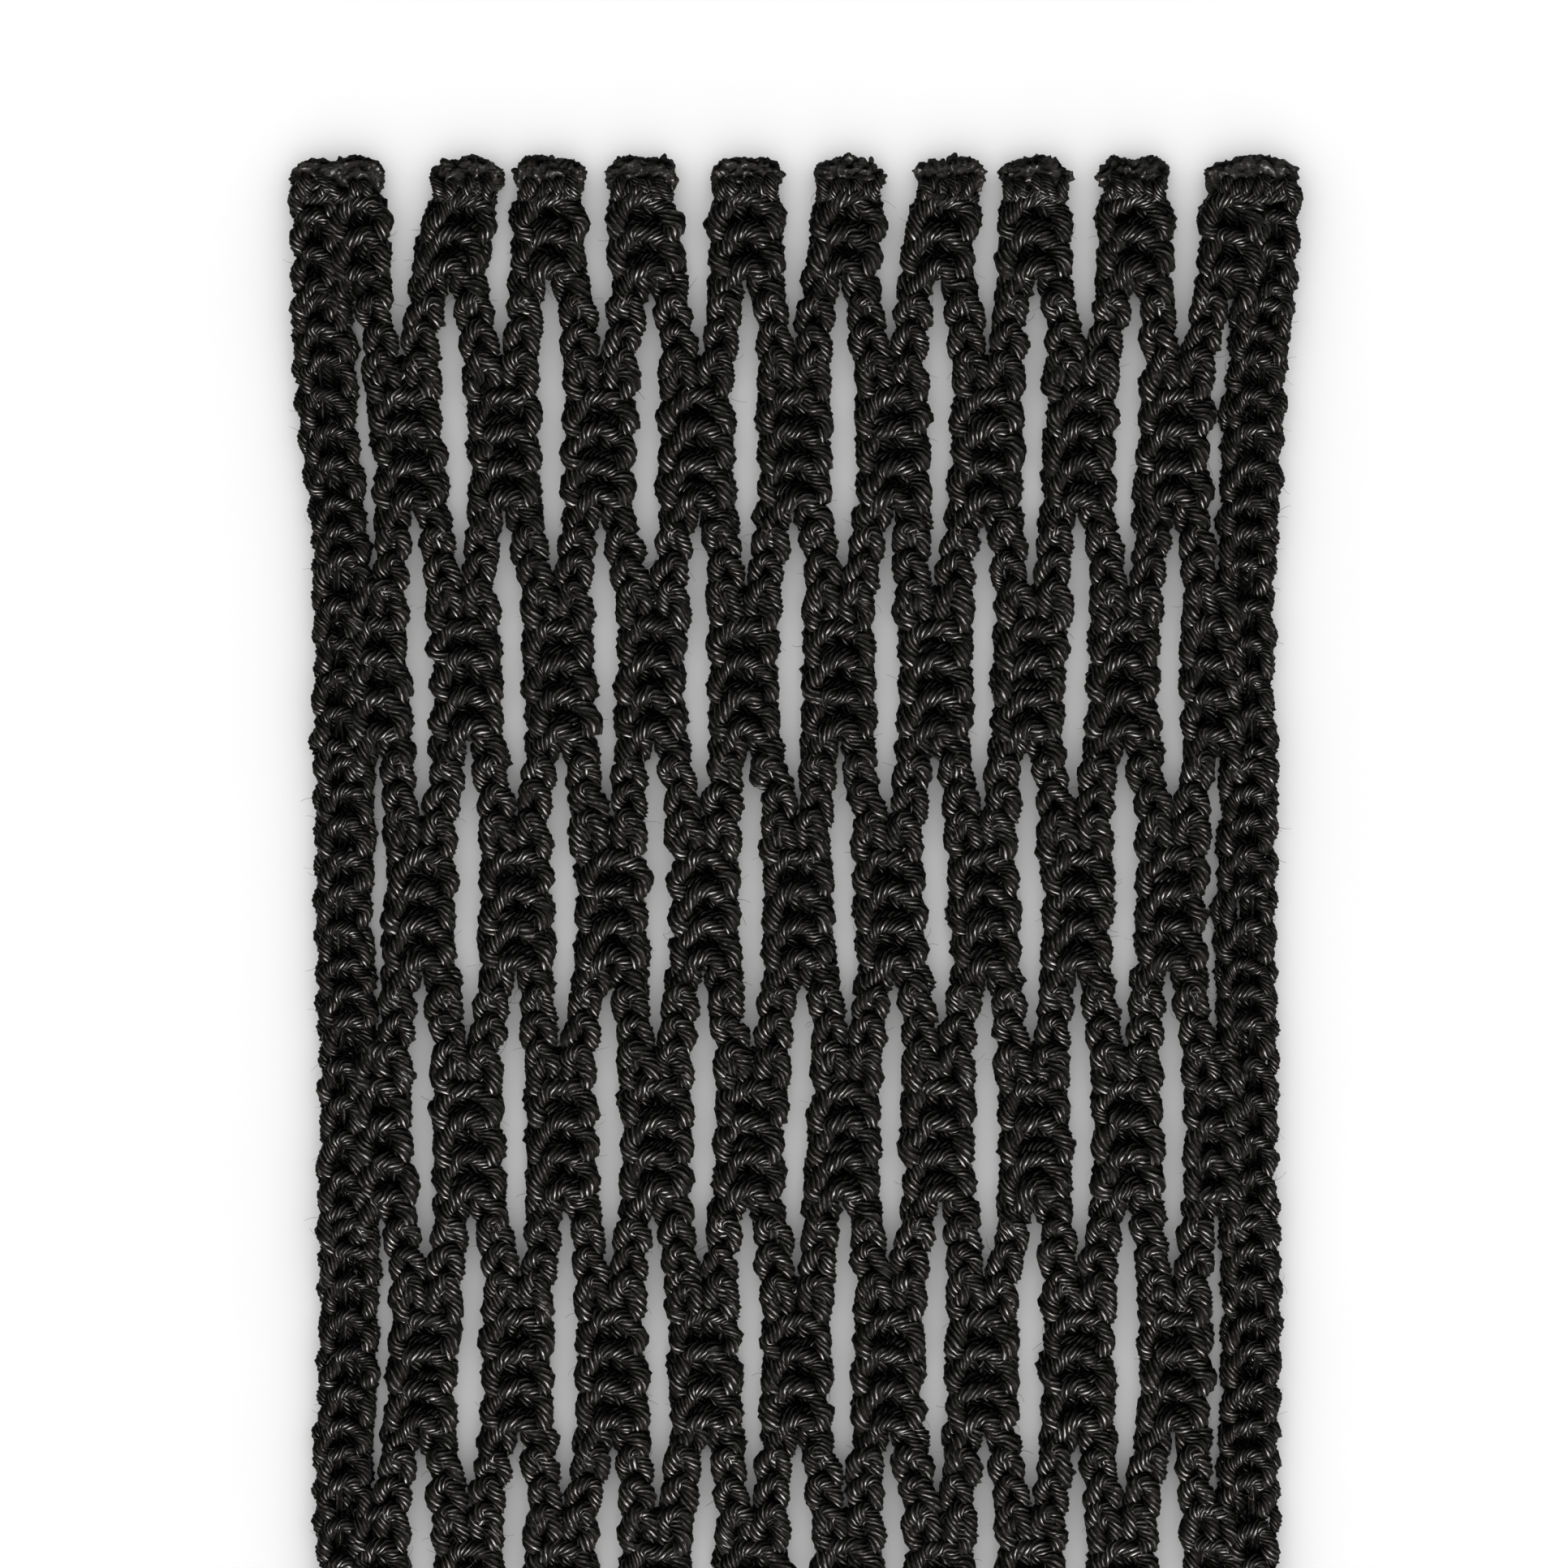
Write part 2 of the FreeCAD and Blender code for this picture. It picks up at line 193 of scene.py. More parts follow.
class Mesh:
    """Vertices, faces and per-point yarn coordinates of one piece."""

    def __init__(self):
        self.points, self.coordinates, self.ridges = [], [], []
        self.quads, self.triangles = [], []
        self.count = 0

    def add(self, points, coordinates, ridges, quads, triangles):
        """Take in one closed shape whose faces count its own points from 0."""
        self.points.append(points)
        self.coordinates.append(coordinates)
        self.ridges.append(ridges)
        self.quads.append(np.asarray(quads, int).reshape(-1, 4) + self.count)
        self.triangles.append(np.asarray(triangles, int).reshape(-1, 3) + self.count)
        self.count += len(points)

    def yarn(self, keys, random, step=RING_STEP, strands=STRANDS):
        """Twisted yarn along key points (x, y, z, radius), closed at both ends."""
        line, along = smooth_path(keys, step)
        path, radius = line[:, :3], line[:, 3]
        tangent, normal = carried_frames(path)
        side = np.cross(tangent, normal)
        around = 2 * strands
        corner = np.arange(around)
        # S twist: the plies turn against the right-hand rule about the yarn.
        lay = math.tan(LAY_ANGLE) * (1 + 0.16 * np.sin(along / 1.3 + random.uniform(0, 6)))
        turn = np.cumsum(np.gradient(along) * lay / radius)
        angle = 2 * math.pi * corner / around - turn[:, None] + random.uniform(0, 2 * math.pi)
        ridge = (corner % 2 == 0).astype(float)
        # No two plies lie equally tight.
        loose = random.normal(0, 0.11, (len(path) + 2, around))
        loose = (loose[:-2] + 1.4 * loose[1:-1] + loose[2:]) / 2.4
        reach = radius[:, None] * (VALLEY + (1 - VALLEY) * ridge + loose * (0.3 + 0.7 * ridge))
        points = (path[:, None, :]
                  + (reach * np.cos(angle))[..., None] * normal[:, None, :]
                  + (reach * np.sin(angle))[..., None] * side[:, None, :]).reshape(-1, 3)
        ply = 2 * math.pi * corner / around
        rings = len(path)
        start = random.uniform(0, 400)
        place = np.empty((rings, around, 3))
        place[..., 0], place[..., 1] = np.cos(ply), np.sin(ply)
        place[..., 2] = (along + start)[:, None]
        ring = (np.arange(rings - 1) * around)[:, None]
        following = (corner + 1) % around
        quads = np.stack([ring + corner, ring + following,
                          ring + around + following, ring + around + corner], axis=-1)
        # A ring's corners run so that the wall faces outwards; the two ends are fans.
        first, last = rings * around, rings * around + 1
        end = (rings - 1) * around
        fans = np.vstack([
            np.stack([np.full(around, first), following, corner], axis=-1),
            np.stack([np.full(around, last), end + corner, end + following], axis=-1),
        ])
        caps = path[[0, -1]] + tangent[[0, -1]] * np.array([[-0.5], [0.5]]) * radius[[0, -1], None]
        self.add(
            np.vstack([points, caps]),
            np.vstack([place.reshape(-1, 3), [[0, 0, start], [0, 0, start + along[-1]]]]),
            np.concatenate([np.tile(ridge, rings), [0.5, 0.5]]),
            quads.reshape(-1, 4), fans,
        )

    def fibre(self, keys, radius, start):
        """Single loose fibre: a three-sided hair along key points."""
        path = np.asarray(keys, float)
        tangent, normal = carried_frames(path)
        side = np.cross(tangent, normal)
        rings = len(path)
        taper = radius * np.linspace(1, 0.5, rings)[:, None, None]
        angle = 2 * math.pi * np.arange(3) / 3
        points = (path[:, None, :] + taper * (np.cos(angle)[None, :, None] * normal[:, None, :]
                  + np.sin(angle)[None, :, None] * side[:, None, :])).reshape(-1, 3)
        corner = np.arange(3)
        following = (corner + 1) % 3
        ring = (np.arange(rings - 1) * 3)[:, None]
        quads = np.stack([ring + corner, ring + following, ring + 3 + following, ring + 3 + corner], -1)
        end = 3 * (rings - 1)
        place = np.zeros((len(points), 3))
        place[:, 0] = 1
        place[:, 2] = start
        self.add(points, place, np.ones(len(points)), quads.reshape(-1, 4),
                 [[2, 1, 0], [end, end + 1, end + 2]])

    def build(self, name):
        """Blender object with the yarn coordinates and sharp grooves between the plies."""
        points = np.vstack(self.points) * MM
        # Where a yarn presses on the table it is flat.
        points[:, 2] = np.maximum(points[:, 2], 0.0)
        quads, triangles = np.vstack(self.quads), np.vstack(self.triangles)
        mesh = bpy.data.meshes.new(name)
        mesh.vertices.add(len(points))
        mesh.vertices.foreach_set("co", points.astype(np.float32).ravel())
        corners = np.concatenate([quads.ravel(), triangles.ravel()]).astype(np.int32)
        sizes = np.concatenate([np.full(len(quads), 4), np.full(len(triangles), 3)])
        starts = np.concatenate([[0], np.cumsum(sizes)[:-1]]).astype(np.int32)
        mesh.loops.add(len(corners))
        mesh.loops.foreach_set("vertex_index", corners)
        mesh.polygons.add(len(sizes))
        mesh.polygons.foreach_set("loop_start", starts)
        mesh.update(calc_edges=True)
        mesh.validate()
        mesh.polygons.foreach_set("use_smooth", np.ones(len(mesh.polygons), bool))
        ridges = np.concatenate(self.ridges)
        place = mesh.attributes.new("yarn_place", "FLOAT_VECTOR", "POINT")
        place.data.foreach_set("vector", np.vstack(self.coordinates).astype(np.float32).ravel())
        ridge = mesh.attributes.new("ply_ridge", "FLOAT", "POINT")
        ridge.data.foreach_set("value", ridges.astype(np.float32))
        edges = np.empty(2 * len(mesh.edges), np.int32)
        mesh.edges.foreach_get("vertices", edges)
        groove = (ridges[edges.reshape(-1, 2)] < 0.25).all(axis=1)
        sharp = mesh.attributes.new("sharp_edge", "BOOLEAN", "EDGE")
        sharp.data.foreach_set("value", groove)
        piece = bpy.data.objects.new(name, mesh)
        bpy.context.scene.collection.objects.link(piece)
        return piece


# ---------------------------------------------------------------- looseness of the fabric

END_FLARE = 0.05            # the ends spread by this share, because nothing holds them
FLARE_FROM = 18.0           # distance from the middle at which that begins
FLARE_OVER = 25.0           # length over which it grows
# The columns of the cut end stand free above the first splits, each leaning its own way.
FINGER_LEAN = (0.0, 0.8, 0.0, -0.2, 0.2, 0.4, 0.5, -0.1, -0.2, 0.0)
LEAN_OVER = 6.0             # length over which a free end comes to its full lean


def finger_lean(x, y):
    """Sideways shift of a free column end."""
    column = round(x / COLUMN_PITCH + (LEG_PAIRS + 1) / 2 - 0.5)
    column = min(max(column, 0), LEG_PAIRS)
    free = ease((abs(y) - ROW_Y[0] + SPLIT) / LEAN_OVER)
    return free * FINGER_LEAN[column if y > 0 else LEG_PAIRS - column]


def relaxed(x, y):
    """Where a point of the regular knit really lies across the strip."""
    flare = END_FLARE * ease((abs(y) - FLARE_FROM) / FLARE_OVER)
    sway = -0.20 * ease((y - 8.0) / 12.0)
    sway += 0.10 * math.sin(y / 4.1 + x / 5.3) + 0.06 * math.sin(y / 1.9 - x / 3.1)
    return x * (1 + flare) + sway + finger_lean(x, y)


def settle(keys, past_end=0.25):
    """Key points of a yarn after the fabric has relaxed, none past the cut or under the table."""
    limit = CHAIN_TOP + past_end
    return [(relaxed(x, y), min(max(y, -limit), limit), max(z, 1.12 * radius), radius)
            for x, y, z, radius in keys]


# ---------------------------------------------------------------- knitted chains

CHAIN_YARN = 0.33           # yarn radius of a leg
CORE_YARN = 0.30            # straight yarn laid inside each leg
CORE_HEIGHT = 0.62
CORE_STEP = 1.1             # between the key points of a straight yarn
SELVEDGE_YARN = 0.28
SELVEDGE_CORE = 0.24
HIDDEN = {"step": 0.5, "strands": 5}    # coarser make of yarns that hardly show

# One stitch, seen from above: up the left limb, over the arch, down the right limb and
# back underneath. Across the chain (-1 to 1), along it in courses, height, share of radius.
STITCH = [
    (-0.50, -1.04, 0.60, 0.90),
    (-0.88, -0.72, 0.96, 1.14),
    (-0.96, -0.36, 1.14, 1.24),
    (-0.66, 0.00, 1.24, 1.14),
    (0.02, 0.14, 1.26, 1.06),
    (0.66, -0.04, 1.22, 1.14),
    (0.96, -0.40, 1.12, 1.24),
    (0.86, -0.78, 0.94, 1.14),
    (0.40, -1.08, 0.58, 0.90),
    (-0.08, -1.32, 0.38, 0.84),
    (-0.42, -1.72, 0.38, 0.84),
]
JOINT_DROP = 0.70           # how much lower a stitch lies where a lap covers it
WANDER = 0.055              # hand of the knitting: places vary by this much


def covered(y):
    """How far the laps cover the stitches: not yet in the first course of a joint, half in the last."""
    place = (ROW_Y[0] - y) / BAR
    below = (place - round(place)) * BAR
    return tied(y) * ease((below + SPLIT - 0.6) / 1.4) * (1 - 0.5 * ease((below - 2.6) / 0.8))


def chain_keys(middle, half_width, cover, radius, random):
    """Key points of the yarn that knits one chain from top to bottom.

    middle, half_width and cover are functions of y.
    """
    keys = []
    gaps = np.append(-np.diff(COURSES), LAP_PITCH)
    for y, gap in zip(COURSES, gaps):
        under = cover(y)
        reach = half_width(y) - radius
        swell = 1 + random.normal(0, 0.06)
        shift = random.normal(0, WANDER, 2)
        lean = random.normal(-0.05, 0.10)
        for across, course, height, share in STITCH:
            key_y = y + (course + lean * across) * gap + shift[1]
            wobble = random.normal(0, WANDER, 3)
            keys.append((
                middle(key_y) + across * reach + shift[0] + wobble[0],
                key_y + wobble[1],
                height - JOINT_DROP * under * ease((height - 0.3) / 0.8) + wobble[2] * 0.7,
                radius * share * swell,
            ))
    return settle(keys)


def core_keys(middle, radius):
    """Key points of the yarn laid straight through a chain."""
    places = np.arange(CHAIN_TOP, -CHAIN_TOP, -CORE_STEP)
    return settle([(middle(y), y, CORE_HEIGHT, radius) for y in places])


def stray_fibres(mesh, middle, half_width, random, count):
    """Broken filaments that stand out of the edges of a chain."""
    for _ in range(count):
        y = random.uniform(-CHAIN_TOP, CHAIN_TOP)
        side = random.choice([-1, 1])
        length = random.uniform(0.25, 0.8)
        heading = random.uniform(-1.2, 1.2)
        curl = random.uniform(-1.6, 1.6)
        x, z = relaxed(middle(y) + side * (half_width(y) - 0.18), y), random.uniform(0.7, 1.3)
        keys = []
        for step in range(7):
            keys.append((x, y, z))
            x += side * math.cos(heading) * length / 6
            y += math.sin(heading) * length / 6
            z += random.uniform(-0.02, 0.05)
            heading += curl / 6
        mesh.fibre(keys, random.uniform(0.007, 0.012), random.uniform(0, 400))


def finish_piece(piece, material, slot, *nodes):
    """Give a piece its material, attach it to the root body and hide the CAD nodes it takes the place
    of.
    """
    piece.data.materials.append(material)
    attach(piece, "root")
    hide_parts(*nodes)


def make_leg(number, material):
    """One leg: a core yarn and the yarn knitted round it."""
    random = np.random.default_rng(100 + number)
    middle = leg_middle(number)

    def half_width(y):
        return CHAIN_WIDTH / 2 + 0.05 + 0.02 * tied(y)

    mesh = Mesh()
    mesh.yarn(core_keys(middle, CORE_YARN), random, **HIDDEN)
    mesh.yarn(chain_keys(middle, half_width, covered, CHAIN_YARN, random), random)
    stray_fibres(mesh, middle, half_width, random, 40)
    name = "leg_chain_%02d" % number
    finish_piece(mesh.build("knitted_leg_%02d" % number), material, "leg_yarn", name)


def make_selvedge(side, material):
    """Two narrow chains and the strand that edges them. side is -1 on the left, 1 on the right."""
    word = "left" if side < 0 else "right"
    for order, place in enumerate(("inner", "outer")):
        random = np.random.default_rng(300 + 10 * order + side)
        x = side * (INNER_EDGE + (order + 0.5) * SELVEDGE_CHAIN)

        def middle(y, x=x):
            return x

        def half_width(y):
            return SELVEDGE_CHAIN / 2 + 0.10

        mesh = Mesh()
        mesh.yarn(core_keys(middle, SELVEDGE_CORE), random, **HIDDEN)
        mesh.yarn(chain_keys(middle, half_width, lambda y: 1.0, SELVEDGE_YARN, random), random)
        stray_fibres(mesh, middle, half_width, random, 30)
        node = "%s_selvedge_%s_chain" % (word, place)
        piece = mesh.build("knitted_%s_selvedge_%s" % (word, place))
        finish_piece(piece, material, "selvedge_yarn", node)
    make_edge_strand(side, word, material)


def make_edge_strand(side, word, material):
    """Outermost strand: it bulges once in every course where the laps pass round it."""
    random = np.random.default_rng(500 + side)
    low, high = box_mm(word + "_edge_strand")
    x = (low[0] + high[0]) / 2
    gaps = np.append(-np.diff(COURSES), LAP_PITCH)
    keys = [(x, CHAIN_TOP, 0.6, 0.28)]
    for y, gap in zip(COURSES, gaps):
        out, along, up = random.normal(0, WANDER, 3)
        keys.append((x + side * (0.06 + out), y - 0.20 * gap + along, 0.78 + up, 0.31))
        keys.append((x - side * (0.10 - out), y - 0.70 * gap + along, 0.52 + up, 0.26))
    keys = settle([key for key in keys if abs(key[1]) <= CHAIN_TOP])
    mesh = Mesh()
    mesh.yarn(keys, random)
    stray_fibres(mesh, lambda y: x, lambda y: 0.3, random, 60)
    piece = mesh.build("%s_edge_yarn" % word)
    finish_piece(piece, material, "selvedge_yarn", word + "_edge_strand")


# ---------------------------------------------------------------- lapping yarns

LAP_YARN = 0.38
LAP_REACH = CHAIN_WIDTH - 0.34      # from the middle of a column to the limbs of a lap
FILLER = 0.36                       # yarn laid in behind the laps
# How far the rib of each course of a joint sags, from the top: a V in the first one, arches below.
RIB_DIPS = (1.2, 0.2, -0.05, -0.1, -0.4)
RIB_SPREAD = 0.25                   # the most that one rib sags further

# Where a joint ties a leg to a selvedge: its laps and the fillers behind them, from the inner edge.
EDGE_JOINT = 0.30
EDGE_JOINT_REACH = 0.95
EDGE_FILLERS = (-0.60, 0.03, 0.66, 1.29, 1.92)
# Laps round the selvedge: how far out from its inner edge, reach, and how many courses late,
# beside such joints and elsewhere.
JOINED_EDGE_LAP = (1.55, 0.70, 0.45)
LONE_EDGE_LAP = (1.25, 0.90, 0.0)
EDGE_LAP_YARN = 0.31
EDGE_LAP_DIP = 0.1

CUT_YARNS = 8                       # cut yarns that show at each sealed end
CUT_EDGE = 0.75                     # middle of the end of a selvedge, out from its inner edge
CUT_EDGE_REACH = 1.6
# The rib at a sealed end: shares of the reach, and height.
CUT_RIB = ((-1.0, 0.72), (-0.6, 1.16), (0.0, 1.26), (0.6, 1.16), (1.0, 0.72))

# Half of one lap, seen from above: from the middle of the rib, under the limb of the course
# above, out into its own limb and down to the next course, where it goes in.
# Across in shares of the limb's distance, along in courses, height, share of the radius.
HALF_LAP = [
    (0.00, 0.15, 1.24, 1.04),
    (0.36, 0.08, 1.22, 1.06),
    (0.66, -0.12, 1.08, 1.06),
    (0.91, -0.38, 1.12, 1.14),
    (1.02, -0.66, 1.14, 1.20),
    (0.89, -0.96, 1.06, 1.06),
    (0.72, -1.16, 0.78, 0.90),
    (0.58, -1.30, 0.48, 0.78),
]
# Half of the part of a lap that shows above its rib.
BACK_LAP = [(0.00, 0.29, 0.94, 0.94), (0.45, 0.27, 0.88, 0.94), (0.85, 0.16, 0.64, 0.86)]


def lap_keys(x, y, limb, pitch, dip, random, radius=LAP_YARN, half=HALF_LAP):
    """Key points of one lapping yarn over a column whose limbs lie limb away from x.

    dip bends the rib down in the middle, and up when it is negative.
    """
    tilt = random.normal(0, 0.07)
    shift = random.normal(0, WANDER, 2)
    radius = radius * (1 + random.normal(0, 0.06))
    left = [(-across, along, height, share) for across, along, height, share in reversed(half[1:])]
    keys = []
    for across, along, height, share in left + half:
        sag = dip * max(0.0, 1 - abs(across) / 0.7)
        wobble = random.normal(0, WANDER, 3)
        keys.append((x + across * limb + shift[0] + wobble[0],
                     y + (along - 0.35 * sag) * pitch + tilt * across + shift[1] + wobble[1],
                     height - 0.32 * max(sag, 0.0) + wobble[2] * 0.6,
                     radius * share))
    return settle(keys)


def filler_keys(x, y, above, below, height):
    """Key points of the short yarn that fills a column behind one lap."""
    ends = height + 0.05
    return settle([(x, y + above, ends, FILLER), (x, y, height, FILLER), (x, y - below, ends, FILLER)])


def add_cut_ends(mesh, middles, outwards, random):
    """Last rib and cut yarn ends of each column, half sunk in the sealed end."""
    edges = [-(INNER_EDGE + CUT_EDGE), INNER_EDGE + CUT_EDGE]
    y = outwards * (CHAIN_TOP - 0.25)
    for x in middles + edges:
        reach = LAP_REACH if x in middles else CUT_EDGE_REACH
        rib = [(x + across * reach, y + random.normal(0, 0.08), height, 0.33)
               for across, height in CUT_RIB]
        mesh.yarn(settle(rib), random)
        for number in range(CUT_YARNS):
            place = (number - (CUT_YARNS - 1) / 2) / (CUT_YARNS / 2)
            start = x + reach * (place + random.uniform(-0.10, 0.10))
            lean = random.uniform(-0.60, 0.60)
            end = random.uniform(0.60, 1.15)
            top = random.uniform(1.32, 1.46)
            mesh.yarn(settle([
                (start, y - outwards * 0.1, top - 0.25, 0.25),
                (start + 0.5 * lean, y + outwards * 0.5 * end, top, 0.27),
                (start + lean, y + outwards * end, top - 0.24, 0.17),
            ], past_end=1.2), random)


def add_joint_laps(mesh, row, middles, joined, random):
    """Laps and fillers of the joints of one row, from the top course down."""
    for y in lap_places(row):
        course = joint_courses(ROW_Y[row]).index(y)
        above = 0.1 if course == 0 else 0.8
        below = 0.1 if course == JOINT_LAPS - 1 else 0.8
        for x in middles:
            mesh.yarn(filler_keys(x, y, above, below, 0.50), random, **HIDDEN)
            dip = RIB_DIPS[course] + random.uniform(0, RIB_SPREAD)
            mesh.yarn(lap_keys(x, y, LAP_REACH, LAP_PITCH, dip, random), random)
            mesh.yarn(lap_keys(x, y, LAP_REACH, LAP_PITCH, dip, random, half=BACK_LAP), random)
        if not joined:
            continue
        for side in (-1, 1):
            x = side * (INNER_EDGE - EDGE_JOINT)
            dip = random.uniform(0, 0.3)
            mesh.yarn(lap_keys(x, y, EDGE_JOINT_REACH, LAP_PITCH, dip, random), random)
            for across in EDGE_FILLERS:
                x = side * (INNER_EDGE + across)
                mesh.yarn(filler_keys(x, y, 0.8, 0.8, 0.45), random, **HIDDEN)


def make_lap_row(row, material):
    """All the lapping yarns of one row of joints and of the selvedges beside them."""
    random = np.random.default_rng(700 + row)
    # In every other row, from the first, the outer legs are joined to the selvedges.
    joined = row % 2 == 0
    columns = LEG_PAIRS - 1 if joined else LEG_PAIRS
    middles = [(column - (columns - 1) / 2) * COLUMN_PITCH for column in range(columns)]
    mesh = Mesh()
    add_joint_laps(mesh, row, middles, joined, random)
    if row in (0, len(ROW_Y) - 1):
        add_cut_ends(mesh, middles, 1 if row == 0 else -1, random)
    # Courses at which only the selvedges have laps.
    alone = [] if joined else [
        ROW_Y[row] + turn * (HALF_LAPS * LAP_PITCH + step * LEG_PITCH)
        for step in range(1, LEG_COURSES + 1) for turn in (-1, 1)]
    if row == 0:
        alone = [ROW_Y[0] + LAP_PITCH]
    out, reach, late = JOINED_EDGE_LAP if joined else LONE_EDGE_LAP
    for y in lap_places(row) + alone:
        for side in (-1, 1):
            x = side * (INNER_EDGE + out)
            keys = lap_keys(x, y - late * LAP_PITCH, reach, LEG_PITCH, EDGE_LAP_DIP, random,
                            EDGE_LAP_YARN)
            mesh.yarn(keys, random)
    piece = mesh.build("lapping_yarns_row_%d" % (row + 1))
    finish_piece(piece, material, "lapping_yarn", "joint_laps_row_%d" % (row + 1))


# ---------------------------------------------------------------- sealed ends

def lump_noise(points, random, size):
    """Smooth value between about -1 and 1 at each point, from a few random waves."""
    value = np.zeros(len(points))
    for _ in range(10):
        wave = random.normal(0, 1, 3)
        wave *= random.uniform(0.6, 1.6) * 2 * math.pi / (size * np.linalg.norm(wave))
        value += np.sin(points @ wave + random.uniform(0, 2 * math.pi))
    return value / 4.5


def vertex_points(mesh):
    """Places of the vertices of a mesh, one row each."""
    points = np.empty(3 * len(mesh.vertices))
    mesh.vertices.foreach_get("co", points)
    return points.reshape(-1, 3)


def set_crust(mesh, points, crest):
    """Move the vertices to points in millimetres and note which of them are crests, by which the crust
    colour paints shade into the hollows.
    """
    mesh.vertices.foreach_set("co", (points * MM).ravel())
    mesh.attributes.new("crust_crest", "FLOAT", "POINT").data.foreach_set("value", crest)
    for polygon in mesh.polygons:
        polygon.use_smooth = True
    mesh.update()


def make_tip(node, outwards, material):
    """Fused yarn ends of one column: a lumpy crust with beads drawn out of it."""
    number = int(node[-2:])
    random = np.random.default_rng(900 + number + (50 if outwards < 0 else 0))
    low, high = box_mm(node)
    middle, half = (low + high) / 2, (high - low) / 2
    bpy.ops.object.select_all(action="DESELECT")
    bpy.ops.mesh.primitive_cube_add(size=2, location=(0, 0, 0))
    piece = bpy.context.object
    piece.name = "fused_" + node.replace("_sealed_tip", "_end")
    piece.data.name = piece.name
    bpy.ops.object.mode_set(mode="EDIT")
    bpy.ops.mesh.select_all(action="SELECT")
    bpy.ops.mesh.subdivide(number_cuts=31)
    bpy.ops.object.mode_set(mode="OBJECT")
    cube = vertex_points(piece.data)
    # The cube is rounded off towards a pillow.
    norm = (np.abs(cube) ** 3).sum(axis=1) ** (1 / 3)
    ball = cube / norm[:, None]
    shaped = ball * half
    # Towards the column the crust thins out and runs in under the last stitches.
    inner = ease((0.35 - ball[:, 1] * outwards) / 1.3)
    shaped[:, 1] -= outwards * 0.50 * inner * (0.75 + 0.25 * np.sin(4 * ball[:, 0] + number))
    shaped[:, 0] *= 0.96 - 0.07 * inner
    shaped[:, 2] -= 0.42 * inner * (ball[:, 2] > 0) * ball[:, 2]
    lumps = lump_noise(shaped, random, 1.0)
    folds = 1 - 2 * np.abs(lump_noise(shaped * (1.0, 0.7, 1.0), random, 0.62))
    grain = lump_noise(shaped, random, 0.30)
    outward_way = ball / np.linalg.norm(ball, axis=1)[:, None]
    swell = 0.09 * lumps + 0.13 * folds + 0.07 * grain - 0.10
    shaped += outward_way * swell[:, None]
    # How far each point stands out; the crust colour uses it to paint shade into the hollows.
    crest = np.clip(0.5 + 2.2 * (0.10 * lumps + 0.11 * (folds - 0.3) + 0.08 * grain), 0, 1)
    # The cut line itself is uneven from side to side.
    cut = ease((ball[:, 1] * outwards + 0.1) / 1.1)
    lean = random.uniform(-0.14, 0.14) * ball[:, 0] - 0.32 * np.abs(ball[:, 0]) ** 4
    lean = lean + 0.09 * np.sin(4.5 * ball[:, 0] + random.uniform(0, 6))
    shaped[:, 1] += outwards * cut * lean
    shaped += middle
    shaped[:, 2] = np.clip(shaped[:, 2], 0.01, None)
    shaped[:, 0] += relaxed(middle[0], middle[1]) - middle[0]
    set_crust(piece.data, shaped, crest)
    beads = [make_bead(random, middle, half, outwards) for _ in range(random.integers(4, 8))]
    bpy.ops.object.select_all(action="DESELECT")
    for bead in beads:
        bead.select_set(True)
    piece.select_set(True)
    bpy.context.view_layer.objects.active = piece
    bpy.ops.object.join()
    finish_piece(piece, material, "fused_ends", node)


def make_bead(random, middle, half, outwards):
    """Drop or drawn-out whisker of melted yarn on the rim of a sealed end."""
    rim = random.uniform(-1, 1)
    at_side = random.random() < 0.5
    if at_side:
        x = middle[0] + math.copysign(half[0] * random.uniform(0.80, 0.88), rim)
        y = middle[1] + outwards * half[1] * random.uniform(-0.3, 0.35)
    else:
        x = middle[0] + half[0] * rim * 0.60
        y = middle[1] + outwards * half[1] * random.uniform(0.74, 0.86)
    x += relaxed(middle[0], middle[1]) - middle[0]
    z = random.uniform(0.5, 1.1)
    bpy.ops.object.select_all(action="DESELECT")
    bpy.ops.mesh.primitive_ico_sphere_add(subdivisions=2, radius=1, location=(0, 0, 0))
    bead = bpy.context.object
    size = random.uniform(0.10, 0.20)
    long = size * random.uniform(1.0, 1.9)
    way = math.atan2(outwards * (0.2 if at_side else 1.0),
                     math.copysign(1.0 if at_side else 0.3, rim))
    way += random.uniform(-0.5, 0.5)
    ball = vertex_points(bead.data)
    ball = ball * (1 + 0.12 * lump_noise(ball, random, 1.2))[:, None]
    body = ball * (long, size, size)
    turned = np.stack([
        body[:, 0] * math.cos(way) - body[:, 1] * math.sin(way),
        body[:, 0] * math.sin(way) + body[:, 1] * math.cos(way),
        body[:, 2],
    ], axis=1) + (x, y, z)
    # A bead's top counts as a crest and its underside as a hollow: painted light on top, painted shade
    # beneath.
    set_crust(bead.data, turned, np.clip(0.45 + 0.5 * ball[:, 2], 0, 1))
    return bead


# ---------------------------------------------------------------- materials

# Near-black of the yarn between its filaments, also painted into the grooves between the plies as
# painted shade.
GROOVE_SHADE_BLACK = (0.0008, 0.0008, 0.0008, 1)
# Paler colour painted on the ply crests where filaments lie close: a painted highlight.
CREST_SHEEN_BLACK = (0.046, 0.0442, 0.0405, 1)
FILAMENT_RELIEF = 0.00009


def new_group(name, inputs, outputs):
    """Empty node group that takes in and gives out single values."""
    group = bpy.data.node_groups.new(name, "ShaderNodeTree")
    for label in inputs:
        group.interface.new_socket(label, in_out="INPUT", socket_type="NodeSocketFloat")
    for label in outputs:
        group.interface.new_socket(label, in_out="OUTPUT", socket_type="NodeSocketFloat")
    return group, group.nodes.new("NodeGroupInput"), group.nodes.new("NodeGroupOutput")


